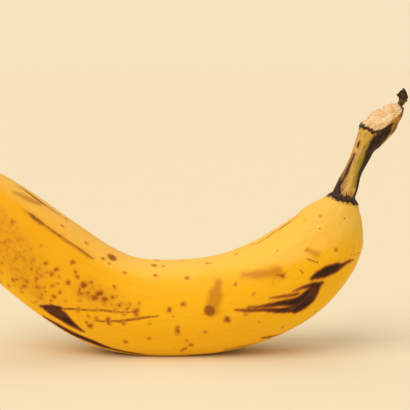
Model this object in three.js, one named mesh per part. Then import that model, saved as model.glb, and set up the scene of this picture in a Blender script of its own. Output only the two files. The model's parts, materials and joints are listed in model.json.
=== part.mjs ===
// A ripe banana lying on the outside of its bend, with the stalk end standing up at the right.
// Millimetres and degrees. +Z is up, +X runs towards the stalk and -Y faces the front of the fruit.
// The origin is on the ground, under the middle of the fruit's box.
//
// The fruit grew as one piece, so it is one solid. Rings of points follow a bent spine, from the
// dried blossom tip through the body, the collar and the stalk to the torn crown and its dry stub.
import * as THREE from "three";

// ---- Driving dimensions ----

const BODY_LENGTH = 206; // along the spine, from the blossom tip to the collar
const BODY_THICKNESS = 40; // in the plane of the bend, over the ridges
const BODY_WIDTH = 40; // across the bend, over the ridges
const BLOSSOM_HEADING = -48; // which way the spine sets off from the blossom tip
const STALK_HEADING = 72; // which way it leaves the collar
const FLAT_DEPTH = 1.2; // how far the underside has settled where the fruit rests

const TIP_LENGTH = 5; // the dried remains of the blossom
const TIP_THICKNESS = 7;
const COLLAR_THICKNESS = 13.4; // the dark rim where the body meets the stalk
const STALK_LENGTH = 25; // from the collar to the crown
const STALK_THICKNESS = 6.8; // at its waist
const CROWN_LENGTH = 20; // the torn piece of crown above the stalk
const CROWN_THICKNESS = 13.4;
const STUB_LENGTH = 7; // the dry stub on top
const STUB_THICKNESS = 4;

// The tear leaves a flat face on top of the crown. It crosses the spine TEAR_PLACE along the crown,
// leans by TEAR_LEAN from the level, and the side it leans to is TEAR_TURN left of the front.
const TEAR_PLACE = 18;
const TEAR_LEAN = 33;
const TEAR_TURN = 27;

// ---- The section: five ridges with full faces between them ----

// Angles run round the spine from the front (0) over the inside of the bend (90) to the back (180).
// The reach is a share of half the body's thickness.
const RIDGES = [
  { angle: 47, reach: 0.97 }, // upper front
  { angle: 120, reach: 1.02 }, // upper back
  { angle: 196, reach: 0.95 }, // back
  { angle: 246, reach: 0.98 }, // under, back
  { angle: 301, reach: 0.98 }, // under, front
];
const FACE_FULLNESS = 0.72; // 0 would be flat faces, 1 a plain round section
const POINTS_PER_FACE = 7;

function polar(degrees, reach) {
  const angle = THREE.MathUtils.degToRad(degrees);
  return new THREE.Vector2(-Math.cos(angle), Math.sin(angle)).multiplyScalar(reach);
}

/** Points round a section that is one unit from spine to ridge: across the bend, then up. */
function sectionPoints() {
  return RIDGES.flatMap((ridge, i) => {
    const last = i === RIDGES.length - 1;
    const next = last ? { ...RIDGES[0], angle: RIDGES[0].angle + 360 } : RIDGES[i + 1];
    return Array.from({ length: POINTS_PER_FACE }, (_, k) => {
      const share = k / POINTS_PER_FACE;
      const angle = THREE.MathUtils.lerp(ridge.angle, next.angle, share);
      const arc = polar(angle, THREE.MathUtils.lerp(ridge.reach, next.reach, share));
      const chord = polar(ridge.angle, ridge.reach).lerp(polar(next.angle, next.reach), share);
      return { ridged: chord.lerp(arc, FACE_FULLNESS), round: polar(angle, 1) };
    });
  });
}

// ---- The stations along the spine ----

/** A place on the body: shares of its length, of its whole bend and of its full thickness. */
function bodyStation(lengthShare, bendShare, girth, rings) {
  return {
    at: lengthShare * BODY_LENGTH,
    heading: THREE.MathUtils.lerp(BLOSSOM_HEADING, STALK_HEADING, bendShare),
    thickness: girth * BODY_THICKNESS,
    width: girth * BODY_WIDTH,
    ridged: 1,
    rings,
  };
}

/** A place on a rounder piece: `ridged` is how much of the body's ridges still shows there. */
function roundStation(at, heading, thickness, ridged, rings) {
  return { at, heading, thickness, width: thickness, ridged, rings };
}

const crownStart = BODY_LENGTH + STALK_LENGTH;
const stubStart = crownStart + CROWN_LENGTH;
const top = stubStart + STUB_LENGTH;

// `rings` is how many rings lie between a station and the one before it.
const STATIONS = [
  roundStation(0, BLOSSOM_HEADING, TIP_THICKNESS * 0.7, 0.3, 1),
  roundStation(TIP_LENGTH * 0.4, BLOSSOM_HEADING, TIP_THICKNESS, 0.4, 1),
  roundStation(TIP_LENGTH, BLOSSOM_HEADING, TIP_THICKNESS * 1.1, 0.6, 1),
  bodyStation(0.055, 0, 0.4, 3),
  bodyStation(0.1, 0.01, 0.66, 3),
  bodyStation(0.15, 0.03, 0.82, 3),
  bodyStation(0.2, 0.05, 0.91, 2),
  bodyStation(0.26, 0.07, 0.97, 3),
  bodyStation(0.34, 0.09, 1, 3),
  bodyStation(0.41, 0.155, 1, 3),
  bodyStation(0.46, 0.24, 1, 2),
  bodyStation(0.5, 0.33, 1, 2),
  bodyStation(0.56, 0.4, 1, 2),
  bodyStation(0.63, 0.445, 1, 3),
  bodyStation(0.69, 0.52, 1, 3),
  bodyStation(0.76, 0.61, 1, 3),
  bodyStation(0.82, 0.7, 0.98, 3),
  bodyStation(0.89, 0.805, 0.88, 3),
  bodyStation(0.94, 0.91, 0.73, 3),
  bodyStation(0.975, 0.97, 0.49, 3),
  roundStation(BODY_LENGTH - 1, STALK_HEADING + 2, COLLAR_THICKNESS, 0.8, 2),
  roundStation(BODY_LENGTH + 1, STALK_HEADING + 4, COLLAR_THICKNESS * 0.94, 0.7, 1),
  roundStation(BODY_LENGTH + 3, STALK_HEADING + 4, STALK_THICKNESS * 1.6, 0.5, 1),
  roundStation(BODY_LENGTH + STALK_LENGTH * 0.28, STALK_HEADING, STALK_THICKNESS * 1.26, 0.5, 2),
  roundStation(BODY_LENGTH + STALK_LENGTH * 0.55, STALK_HEADING - 6, STALK_THICKNESS, 0.5, 3),
  roundStation(BODY_LENGTH + STALK_LENGTH * 0.85, STALK_HEADING - 7, STALK_THICKNESS * 1.12, 0.5, 3),
  roundStation(crownStart, STALK_HEADING - 13, STALK_THICKNESS * 1.4, 0.4, 3),
  roundStation(crownStart + CROWN_LENGTH * 0.33, STALK_HEADING - 16, CROWN_THICKNESS, 0.3, 7),
  roundStation(crownStart + CROWN_LENGTH * 0.52, STALK_HEADING - 25, CROWN_THICKNESS * 0.94, 0.3, 4),
  roundStation(crownStart + CROWN_LENGTH * 0.72, STALK_HEADING - 33, CROWN_THICKNESS * 0.69, 0.3, 4),
  roundStation(crownStart + CROWN_LENGTH * 0.9, STALK_HEADING - 32, CROWN_THICKNESS * 0.36, 0.2, 4),
  roundStation(stubStart, STALK_HEADING, STUB_THICKNESS * 0.6, 0, 2),
  roundStation(stubStart + STUB_LENGTH * 0.45, STALK_HEADING + 12, STUB_THICKNESS, 0, 2),
  roundStation(top - 1, STALK_HEADING + 18, STUB_THICKNESS * 0.8, 0, 1),
  roundStation(top, STALK_HEADING + 18, STUB_THICKNESS * 0.45, 0, 1),
];

/** A smooth curve through one column of the stations, which never swings past them. */
function columnCurve(column) {
  const rise = (i) =>
    (STATIONS[i + 1][column] - STATIONS[i][column]) / (STATIONS[i + 1].at - STATIONS[i].at);
  const slope = (i) => {
    if (i === 0 || i === STATIONS.length - 1) return 0;
    const [before, after] = [rise(i - 1), rise(i)];
    return before * after <= 0 ? 0 : (2 * before * after) / (before + after);
  };
  return (at) => {
    const end = Math.max(1, STATIONS.findIndex((station) => station.at >= at));
    const [a, b] = [STATIONS[end - 1], STATIONS[end]];
    const span = b.at - a.at;
    const t = (at - a.at) / span;
    const fromA = (1 + 2 * t) * (1 - t) ** 2 * a[column] + t * (1 - t) ** 2 * span * slope(end - 1);
    const toB = t * t * (3 - 2 * t) * b[column] - t * t * (1 - t) * span * slope(end);
    return fromA + toB;
  };
}

// ---- The rings ----

const curves = {
  heading: columnCurve("heading"),
  thickness: columnCurve("thickness"),
  width: columnCurve("width"),
  ridged: columnCurve("ridged"),
};

/** Where each ring lies along the spine. */
function ringPlaces() {
  const places = [STATIONS[0].at];
  for (let i = 1; i < STATIONS.length; i += 1) {
    const [from, to] = [STATIONS[i - 1].at, STATIONS[i].at];
    for (let ring = 1; ring <= STATIONS[i].rings; ring += 1) {
      places.push(THREE.MathUtils.lerp(from, to, ring / STATIONS[i].rings));
    }
  }
  return places;
}

/** The spine's point and heading at each ring, walked in straight steps from the blossom tip. */
function walkSpine() {
  const centre = new THREE.Vector3();
  let walked = 0;
  return ringPlaces().map((at) => {
    const midway = THREE.MathUtils.degToRad(curves.heading((walked + at) / 2));
    const step = new THREE.Vector3(Math.cos(midway), 0, Math.sin(midway));
    centre.addScaledVector(step, at - walked);
    walked = at;
    const heading = THREE.MathUtils.degToRad(curves.heading(at));
    const upward = new THREE.Vector3(-Math.sin(heading), 0, Math.cos(heading));
    return { at, centre: centre.clone(), upward };
  });
}

const section = sectionPoints();

function ringPoints({ at, centre, upward }) {
  return section.map(({ ridged, round }) => {
    const share = round.clone().lerp(ridged, curves.ridged(at));
    const point = centre.clone().addScaledVector(upward, (share.y * curves.thickness(at)) / 2);
    point.y += (share.x * curves.width(at)) / 2;
    return point;
  });
}

/** Moves every point that stands out past a plane back onto it, along the plane's normal. */
function pressOnto(points, plane) {
  for (const point of points) {
    const proud = plane.distanceToPoint(point);
    if (proud > 0) point.addScaledVector(plane.normal, -proud);
  }
}

const spine = walkSpine();
const rings = spine.map(ringPoints);

// The torn face of the crown.
const lean = THREE.MathUtils.degToRad(TEAR_LEAN);
const turn = THREE.MathUtils.degToRad(TEAR_TURN);
const tearNormal = new THREE.Vector3(
  -Math.sin(lean) * Math.sin(turn),
  -Math.sin(lean) * Math.cos(turn),
  Math.cos(lean),
);
const tearPlace = spine.find(({ at }) => at >= crownStart + TEAR_PLACE).centre;
const tear = new THREE.Plane().setFromNormalAndCoplanarPoint(tearNormal, tearPlace);
rings
  .filter((_, i) => spine[i].at > BODY_LENGTH + STALK_LENGTH / 2 && spine[i].at < stubStart)
  .forEach((ring) => pressOnto(ring, tear));

// The flat that the fruit rests on.
const lowest = Math.min(...rings.flat().map((point) => point.z));
const ground = new THREE.Plane(new THREE.Vector3(0, 0, -1), lowest + FLAT_DEPTH);
rings.forEach((ring) => pressOnto(ring, ground));

// ---- The solid ----

/** A closed skin over the rings, with a fan of triangles to the middle of each end. */
function skinGeometry() {
  const around = section.length;
  const ends = [rings[0], rings.at(-1)].map((ring) =>
    ring.reduce((sum, point) => sum.add(point), new THREE.Vector3()).divideScalar(around),
  );
  const [tip, stub] = [rings.length * around, rings.length * around + 1];
  const faces = [];
  for (let k = 0; k < around; k += 1) {
    const beside = (k + 1) % around;
    faces.push(tip, k, beside);
    for (let i = 0; i < rings.length - 1; i += 1) {
      const [here, ahead] = [i * around, (i + 1) * around];
      faces.push(here + k, ahead + beside, here + beside);
      faces.push(here + k, ahead + k, ahead + beside);
    }
    faces.push(stub, tip - around + beside, tip - around + k);
  }
  const geometry = new THREE.BufferGeometry().setFromPoints([...rings.flat(), ...ends]);
  geometry.setIndex(faces);
  geometry.computeBoundingBox();
  const { min, max } = geometry.boundingBox;
  geometry.translate(-(min.x + max.x) / 2, -(min.y + max.y) / 2, -min.z);
  geometry.computeVertexNormals();
  return geometry;
}

const banana = new THREE.Mesh(
  skinGeometry(),
  new THREE.MeshStandardMaterial({ color: 0xf2ae1c, roughness: 0.5, metalness: 0 }),
);
banana.name = "banana";

const fruit = new THREE.Group();
fruit.add(banana);

export default fruit;
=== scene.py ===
# %% [markdown]
# # A ripe banana
# The fruit lies on the outside of its bend with its stalk standing up. This lesson models what the
# eye meets on a real one: a waxy five-sided skin with freckles and bruises, a dark collar, a dry
# stalk, the fibrous tear where it left its bunch, and the withered remains of the flower. The packed
# CAD model fixes the size and the place, so the lesson starts by loading it.

# %% Load the fixed frame
import json
import math

import bpy
import numpy as np
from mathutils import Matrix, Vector, noise

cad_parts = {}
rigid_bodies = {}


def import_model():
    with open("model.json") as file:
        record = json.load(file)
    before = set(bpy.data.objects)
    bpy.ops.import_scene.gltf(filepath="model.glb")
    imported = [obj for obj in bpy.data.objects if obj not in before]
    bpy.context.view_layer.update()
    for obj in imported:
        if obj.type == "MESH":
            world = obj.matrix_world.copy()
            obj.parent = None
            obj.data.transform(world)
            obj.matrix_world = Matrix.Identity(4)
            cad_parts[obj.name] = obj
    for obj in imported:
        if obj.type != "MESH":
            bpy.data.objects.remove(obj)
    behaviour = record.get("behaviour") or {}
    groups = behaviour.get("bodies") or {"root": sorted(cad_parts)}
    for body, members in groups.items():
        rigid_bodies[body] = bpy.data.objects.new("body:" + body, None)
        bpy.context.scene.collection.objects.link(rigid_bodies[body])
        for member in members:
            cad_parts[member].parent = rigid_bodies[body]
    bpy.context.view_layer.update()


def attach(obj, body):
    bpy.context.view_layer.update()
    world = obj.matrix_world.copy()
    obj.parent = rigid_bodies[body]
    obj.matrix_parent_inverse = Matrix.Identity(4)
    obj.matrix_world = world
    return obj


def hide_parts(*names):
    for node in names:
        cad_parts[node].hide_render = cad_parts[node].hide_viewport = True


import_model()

MM = 0.001  # Blender works in metres here, and the lesson thinks in millimetres
TINY = 1e-9  # added to a divisor that could be zero

# %% [markdown]
# ## The shape of the fruit
# A banana is a bent spine with rings of skin round it. Box modelling with a subdivision surface
# would give a smooth tube, but the marks on a fruit run along its length and round its girth, so
# this lesson keeps the two directions as coordinates: `along`, in millimetres from the blossom tip,
# and `angle`, in degrees round the spine. Angle 0 is the front, 90 the inside of the bend.
# The stations below are the ones the CAD model is lofted through.

# %% Driving dimensions of the fruit: millimetres, and headings in degrees above level
BODY_LENGTH = 206
BODY_THICKNESS = 40
BLOSSOM_HEADING = -48
STALK_HEADING = 72
FLAT_DEPTH = 1.2  # how far the underside is pressed flat where it rests
TIP_LENGTH = 5
TIP_THICKNESS = 7
COLLAR_THICKNESS = 13.4
STALK_LENGTH = 25
STALK_THICKNESS = 6.8
CROWN_LENGTH = 20
CROWN_THICKNESS = 13.4
STUB_LENGTH = 7
STUB_THICKNESS = 4
TEAR_PLACE, TEAR_LEAN, TEAR_TURN = 18, 33, 27  # mm up the crown, then degrees

CROWN_START = BODY_LENGTH + STALK_LENGTH
STUB_START = CROWN_START + CROWN_LENGTH
TOP = STUB_START + STUB_LENGTH
print("the spine is", TOP, "mm long")


# %% Stations along the spine: where, heading, thickness, how much of the ridges shows
def body_station(length_share, bend_share, girth):
    heading = BLOSSOM_HEADING + (STALK_HEADING - BLOSSOM_HEADING) * bend_share
    return (length_share * BODY_LENGTH, heading, girth * BODY_THICKNESS, 1)


STATIONS = [
    (0, BLOSSOM_HEADING, TIP_THICKNESS * 0.7, 0.3),
    (TIP_LENGTH * 0.4, BLOSSOM_HEADING, TIP_THICKNESS, 0.4),
    (TIP_LENGTH, BLOSSOM_HEADING, TIP_THICKNESS * 1.1, 0.6),
    body_station(0.055, 0, 0.4),
    body_station(0.1, 0.01, 0.66),
    body_station(0.15, 0.03, 0.82),
    body_station(0.2, 0.05, 0.91),
    body_station(0.26, 0.07, 0.97),
    body_station(0.34, 0.09, 1),
    body_station(0.41, 0.155, 1),
    body_station(0.46, 0.24, 1),
    body_station(0.5, 0.33, 1),
    body_station(0.56, 0.4, 1),
    body_station(0.63, 0.445, 1),
    body_station(0.69, 0.52, 1),
    body_station(0.76, 0.61, 1),
    body_station(0.82, 0.7, 0.98),
    body_station(0.89, 0.805, 0.88),
    body_station(0.94, 0.91, 0.73),
    body_station(0.975, 0.97, 0.49),
    (BODY_LENGTH - 1, STALK_HEADING + 2, COLLAR_THICKNESS, 0.8),
    (BODY_LENGTH + 1, STALK_HEADING + 4, COLLAR_THICKNESS * 0.94, 0.7),
    (BODY_LENGTH + 3, STALK_HEADING + 4, STALK_THICKNESS * 1.6, 0.5),
    (BODY_LENGTH + STALK_LENGTH * 0.28, STALK_HEADING, STALK_THICKNESS * 1.26, 0.5),
    (BODY_LENGTH + STALK_LENGTH * 0.55, STALK_HEADING - 6, STALK_THICKNESS, 0.5),
    (BODY_LENGTH + STALK_LENGTH * 0.85, STALK_HEADING - 7, STALK_THICKNESS * 1.12, 0.5),
    (CROWN_START, STALK_HEADING - 13, STALK_THICKNESS * 1.4, 0.4),
    (CROWN_START + CROWN_LENGTH * 0.33, STALK_HEADING - 16, CROWN_THICKNESS, 0.3),
    (CROWN_START + CROWN_LENGTH * 0.52, STALK_HEADING - 25, CROWN_THICKNESS * 0.94, 0.3),
    (CROWN_START + CROWN_LENGTH * 0.72, STALK_HEADING - 33, CROWN_THICKNESS * 0.69, 0.3),
    (CROWN_START + CROWN_LENGTH * 0.9, STALK_HEADING - 32, CROWN_THICKNESS * 0.36, 0.2),
    (STUB_START, STALK_HEADING, STUB_THICKNESS * 0.6, 0),
    (STUB_START + STUB_LENGTH * 0.45, STALK_HEADING + 12, STUB_THICKNESS, 0),
    (TOP - 1, STALK_HEADING + 18, STUB_THICKNESS * 0.8, 0),
    (TOP, STALK_HEADING + 18, STUB_THICKNESS * 0.45, 0),
]
print(len(STATIONS), "stations from the blossom tip to the stub")

# %% A smooth curve through one column of the stations, which never swings past them
station_along = np.array([station[0] for station in STATIONS], float)


def column_curve(column):
    value = np.array([station[column] for station in STATIONS], float)
    rise = np.diff(value) / np.diff(station_along)
    slope = np.zeros(len(value))
    same_way = rise[:-1] * rise[1:] > 0
    slope[1:-1][same_way] = (2 * rise[:-1] * rise[1:] / (rise[:-1] + rise[1:] + TINY))[same_way]

    def at(along):
        end = np.clip(np.searchsorted(station_along, along), 1, len(value) - 1)
        span = station_along[end] - station_along[end - 1]
        t = np.clip((along - station_along[end - 1]) / span, 0, 1)
        from_start = (1 + 2 * t) * (1 - t) ** 2 * value[end - 1]
        from_start += t * (1 - t) ** 2 * span * slope[end - 1]
        return from_start + t * t * (3 - 2 * t) * value[end] - t * t * (1 - t) * span * slope[end]

    return at


heading_at, thickness_at, ridged_at = (column_curve(column) for column in (1, 2, 3))
print("thickness at the middle of the body:", round(float(thickness_at(BODY_LENGTH / 2)), 1), "mm")

# %% The spine, walked in fine steps from the blossom tip
STEP = 0.1
walked = np.arange(0, TOP + STEP, STEP)
midway = np.radians(heading_at(walked[:-1] + STEP / 2))
spine_x = np.concatenate([[0], np.cumsum(np.cos(midway) * STEP)])
spine_z = np.concatenate([[0], np.cumsum(np.sin(midway) * STEP)])
print("spine rises", round(spine_z.max() - spine_z.min(), 1), "mm")

# %% The section: five ridges with full faces between them
RIDGES = {47: 0.97, 120: 1.02, 196: 0.95, 246: 0.98, 301: 0.98}  # angle: reach
FACE_FULLNESS = 0.72  # 0 would be flat faces, 1 a plain round section
RIDGE_SOFTNESS = 4  # degrees over which a ripe fruit's ridge is rounded off
POINTS_PER_FACE = 40


def polar(degrees, reach):
    angle = np.radians(degrees)
    return np.stack([-np.cos(angle), np.sin(angle)], axis=-1) * np.asarray(reach)[..., None]


def section_reach():
    """The reach of the ridged section at each whole degree, as a share of half the thickness."""
    angles, reaches = list(RIDGES), list(RIDGES.values())
    outline = []
    for i, angle in enumerate(angles):
        beyond = (i + 1) % len(angles)
        span = (angles[beyond] - angle) % 360
        share = np.linspace(0, 1, POINTS_PER_FACE, endpoint=False)
        reach = reaches[i] + (reaches[beyond] - reaches[i]) * share
        arc = polar(angle + span * share, reach)
        chord = (1 - share)[:, None] * polar(angle, reaches[i])
        chord += share[:, None] * polar(angle + span, reaches[beyond])
        outline.append(chord + (arc - chord) * FACE_FULLNESS)
    outline = np.concatenate(outline)
    turned = np.degrees(np.arctan2(outline[:, 1], -outline[:, 0])) % 360
    reach = np.interp(np.arange(360), turned, np.linalg.norm(outline, axis=1), period=360)
    window = np.hanning(2 * RIDGE_SOFTNESS + 3)
    padded = np.concatenate([reach[-RIDGE_SOFTNESS - 1:], reach, reach[:RIDGE_SOFTNESS + 1]])
    return np.convolve(padded, window / window.sum(), mode="valid")


ridged_reach = section_reach()
print("section reach from", round(ridged_reach.min(), 3), "to", round(ridged_reach.max(), 3))


# %% A point of skin from its two coordinates, in millimetres
def raw_skin(along, angle):
    along, angle = np.broadcast_arrays(np.asarray(along, float), np.asarray(angle, float))
    ridged = np.interp(angle % 360, np.arange(360), ridged_reach, period=360)
    share = 1 + (ridged - 1) * ridged_at(along)
    reach = share * thickness_at(along) / 2
    turn, tilt = np.radians(angle), np.radians(heading_at(along))
    across, up = -np.cos(turn) * reach, np.sin(turn) * reach
    x = np.interp(along, walked, spine_x) - np.sin(tilt) * up
    z = np.interp(along, walked, spine_z) + np.cos(tilt) * up
    return np.stack([x, across, z], axis=-1)


# The fruit's box is centred on the origin and its settled underside is the ground.
trial = raw_skin(np.arange(0, TOP, 0.5)[:, None], np.arange(0, 360, 2)[None, :]).reshape(-1, 3)
trial_low, trial_high = trial.min(axis=0), trial.max(axis=0)
trial_low[2] += FLAT_DEPTH
origin = np.array([*(trial_low[:2] + trial_high[:2]) / 2, trial_low[2]])


def skin(along, angle):
    return raw_skin(along, angle) - origin


print("skin box in mm:", np.round(trial_high - trial_low, 1))

# %% [markdown]
# ## Tools for growing a surface
# Every large piece of this fruit is a tube of rings with its own relief, so one helper turns a grid
# of points into a closed mesh. It also lays out a UV map by unrolling the tube, with the seam on the
# underside where it is least seen, and stores named attributes that the materials read. Noise comes
# from Blender's own noise functions, sampled on the *straightened* fruit so a pattern doesn't
# stretch round the bend.

# %% Noise at a real size
SMOOTHING, OCTAVE_RATIO = 1.0, 2.0  # each octave is half as wide and half as high as the one before


def lumps(points, height, size, seed=0, octaves=2):
    """Smooth noise from -height to height, in lumps about `size` mm apart, or a size for each axis."""
    scaled = points.reshape(-1, 3) / np.asarray(size, float) + seed
    values = [noise.fractal(Vector(point), SMOOTHING, OCTAVE_RATIO, octaves) for point in scaled]
    return height * np.array(values).reshape(points.shape[:-1])


# %% Two soft steps
def ease(value, start, end):
    """0 before start, 1 after end and a smooth rise between them. start may lie above end."""
    share = np.clip((value - start) / (end - start), 0, 1)
    return share * share * (3 - 2 * share)


def hump(value, middle, width):
    """1 in the middle, fading smoothly to nothing about two widths away."""
    return np.exp(-((value - middle) / width) ** 2)


# %% The places on a tube of rings, and the same places on the straightened fruit
SEAM = 230  # the angle where every tube's UV map is cut: the underside, towards the back


def ring_places(start, end, rings, around):
    """The `along` and the `angle` of every point, rings first."""
    angles = SEAM + np.arange(around) * 360 / around
    return np.meshgrid(np.linspace(start, end, rings), angles, indexing="ij")


def straighten(along, angle):
    """Along, across and up, in millimetres."""
    reach = thickness_at(along) / 2
    turn = np.radians(angle)
    return np.stack([along + 0 * turn, -np.cos(turn) * reach, np.sin(turn) * reach], axis=-1)


# %% Outward directions over a grid of rings
def outward(points):
    lengthwise = np.gradient(points, axis=0)
    crosswise = np.roll(points, -1, axis=1) - np.roll(points, 1, axis=1)
    normal = np.cross(lengthwise, crosswise)
    return normal / (np.linalg.norm(normal, axis=2, keepdims=True) + TINY)


# %% One piece of the fruit from points in millimetres, faces and the UV place of every corner
def new_piece(name, points, faces, unrolled, material, attributes, smooth):
    """The piece rides with the fruit and takes the given material; the CAD banana is hidden."""
    mesh = bpy.data.meshes.new(name)
    mesh.from_pydata(np.asarray(points) * MM, [], faces)
    mesh.uv_layers.new(name="OFBake").data.foreach_set("uv", np.array(unrolled, np.float32).ravel())
    mesh.polygons.foreach_set("use_smooth", [smooth] * len(faces))
    for label, values in attributes.items():
        flat = np.asarray(values, np.float32).reshape(len(points), -1)
        kind, field = ("FLOAT_VECTOR", "vector") if flat.shape[1] == 3 else ("FLOAT", "value")
        mesh.attributes.new(label, kind, "POINT").data.foreach_set(field, flat.ravel())
    mesh.materials.append(material)
    mesh.update()
    piece = bpy.data.objects.new(name, mesh)
    bpy.context.scene.collection.objects.link(piece)
    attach(piece, "root")
    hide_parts("banana")
    print(f"{name}: {len(points)} points, {len(faces)} faces")


# %% One closed tube from a grid of points, rings first
def grow_tube(name, points, material, attributes):
    """Closes the two ends, unrolls the UV map and gives each end the attributes of its ring."""
    rings, around = points.shape[:2]
    ends = np.stack([points[0].mean(axis=0), points[-1].mean(axis=0)])
    first, last = rings * around, rings * around + 1
    faces, unrolled = [], []
    for ring in range(rings - 1):
        low, high = (ring + 1) / (rings + 1), (ring + 2) / (rings + 1)
        for k in range(around):
            beside = (k + 1) % around
            here, ahead = ring * around, (ring + 1) * around
            faces.append((here + k, ahead + k, ahead + beside, here + beside))
            left, right = k / around, (k + 1) / around
            unrolled += [(low, left), (high, left), (high, right), (low, right)]
    for k in range(around):
        beside = (k + 1) % around
        left, right = k / around, (k + 1) / around
        faces.append((first, k, beside))
        unrolled += [(0, (left + right) / 2), (1 / (rings + 1), left), (1 / (rings + 1), right)]
        faces.append((last, first - around + beside, first - around + k))
        unrolled += [(1, (left + right) / 2), (rings / (rings + 1), right), (rings / (rings + 1), left)]

    closed = {}
    for label, values in attributes.items():
        flat = values.reshape(rings * around, -1)
        closed[label] = np.concatenate([flat, flat[:1], flat[-1:]])
    everywhere = np.concatenate([points.reshape(-1, 3), ends])
    new_piece(name, everywhere, faces, unrolled, material, closed, smooth=True)


# %% [markdown]
# ## Tools for materials
# A procedural material is a graph of nodes. One small function adds a node with its settings and
# links, which keeps the graphs below short enough to read as recipes. Colours are written as the
# sRGB hex values an artist would pick and turned to linear light, which is what shaders work in.

# %% Colours and nodes
def linear(hex_colour):
    channels = [int(hex_colour[i:i + 2], 16) / 255 for i in (1, 3, 5)]
    return [c / 12.92 if c <= 0.04045 else ((c + 0.055) / 1.055) ** 2.4 for c in channels] + [1.0]


def add(material, kind, inputs=None, **settings):
    """Adds a node. An input may be a number, a colour or another node's output socket."""
    made = material.node_tree.nodes.new(kind)
    for name, value in settings.items():
        setattr(made, name, value)
    for name, value in (inputs or {}).items():
        if isinstance(value, bpy.types.NodeSocket):
            material.node_tree.links.new(value, made.inputs[name])
        else:
            made.inputs[name].default_value = value
    return made


def maths(material, operation, *values):
    """One sum in a material. Each value may be a number or a socket."""
    return add(material, "ShaderNodeMath", dict(enumerate(values)), operation=operation).outputs["Value"]


# %% Colours over one another
# A Mix node has one set of sockets for each kind of data, all with the same names, so the colour
# ones are picked by number.
MIX_SHARE, MIX_UNDER, MIX_OVER, MIX_RESULT = 0, 6, 7, 2


def lay_over(material, masks, under, layers):
    """Each layer is (mask, strength, colour), and a colour may be a socket."""
    for mask, strength, over in layers:
        share = maths(material, "MULTIPLY", masks[mask], strength)
        mixed = add(material, "ShaderNodeMix", {MIX_SHARE: share}, data_type="RGBA")
        for socket, colour in ((MIX_UNDER, under), (MIX_OVER, over)):
            if isinstance(colour, str):
                mixed.inputs[socket].default_value = linear(colour)
            else:
                material.node_tree.links.new(colour, mixed.inputs[socket])
        under = mixed.outputs[MIX_RESULT]
    return under


def new_finish(name, ior, specular):
    """A material with its Principled shader's constant values set on the sockets."""
    material = bpy.data.materials.new(name)
    material.use_nodes = True
    shader = material.node_tree.nodes["Principled BSDF"]
    shader.inputs["IOR"].default_value = ior
    shader.inputs["Specular IOR Level"].default_value = specular
    return material, shader


# %% [markdown]
# ## Marks on the skin
# A ripe banana tells its history in brown: rubbed ridges, scratches, freckles and bruises. An image
# could be painted, but a mark drawn as a *distance* stays sharp at any size: each point of the skin
# stores how far it is from the nearest stroke's edge, and the shader breaks that edge up with noise.
# A stroke is a few places with the half width it has there. Places are written as the distance
# from the collar and the angle round the fruit.

# %% Distance to the nearest stroke's edge, in millimetres: below 0 is inside the mark
FAR = 9.0
DOTS_PER_STEP = 14  # a stroke is filled in with this many dots from one of its places to the next


def distance_to_strokes(points, strokes):
    nearest = np.full(points.shape[:-1], FAR)
    for stroke in strokes:
        places = np.arange(len(stroke))
        steps = np.linspace(0, len(stroke) - 1, DOTS_PER_STEP * (len(stroke) - 1) + 1)
        back, angle, half = (np.interp(steps, places, column) for column in zip(*stroke))
        for centre, reach in zip(skin(BODY_LENGTH - back, angle), half):
            close = np.abs(points - centre).max(axis=-1) < FAR + reach
            gap = np.linalg.norm(points[close] - centre, axis=-1) - reach
            nearest[close] = np.minimum(nearest[close], gap)
    return nearest


def measure_marks(points, marks):
    return {name: distance_to_strokes(points, strokes) for name, strokes in marks.items()}


# %% Bruises: flesh crushed under the skin that has gone dark brown
# Each place is (mm from the collar, degrees round from the front, half width in mm).
BIG_BRUISE = [
    [(62, -1, 0.1), (57, -7, 0.4), (52, -13, 0.6), (47, -23, 1.0), (42, -33, 1.4)],
    [(57, -3, 0.1), (51, -9, 0.5), (46, -14, 0.9), (42, -22, 1.5), (39, -26, 1.8)],
    [(30, -26, 0.7), (33, -28, 2.0), (36, -30, 3.1), (39, -31, 3.2), (42, -33, 1.9)],
    [(39, -10, 0.1), (35, -15, 0.6), (32, -21, 1.0), (29, -28, 0.4)],
    [(48, -2, 0.1), (43, -9, 0.4), (38, -17, 0.4)],
]
HIGH_BRUISE = [
    [(31, -12, 0.4), (28, -16, 1.5), (25, -22, 2.1), (22, -30, 1.8), (20, -36, 0.6)],
    [(21, -34, 0.8), (18, -43, 0.5), (17, -50, 0.2)],
]
LOW_BRUISE = [
    [(134, -45, 0.5), (131, -38, 1.3), (128, -30, 1.0)],
    [(132, -42, 1.5), (130, -39, 2.5), (126, -38, 2.4), (122, -41, 1.5), (117, -43, 0.3)],
    [(131, -58, 0.5), (125, -57, 1.1), (119, -56, 1.2), (113, -55, 1.2), (108, -57, 0.8), (98, -61, 0.5)],
]
BACK_BRUISE = [
    [(88, 168, 0.4), (80, 172, 1.6), (73, 180, 1.2), (66, 184, 0.3)],
    [(146, 214, 0.3), (140, 210, 1.3), (134, 208, 0.5)],
]
bruises = BIG_BRUISE + HIGH_BRUISE + LOW_BRUISE + BACK_BRUISE
print(len(bruises), "bruise strokes")

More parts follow.
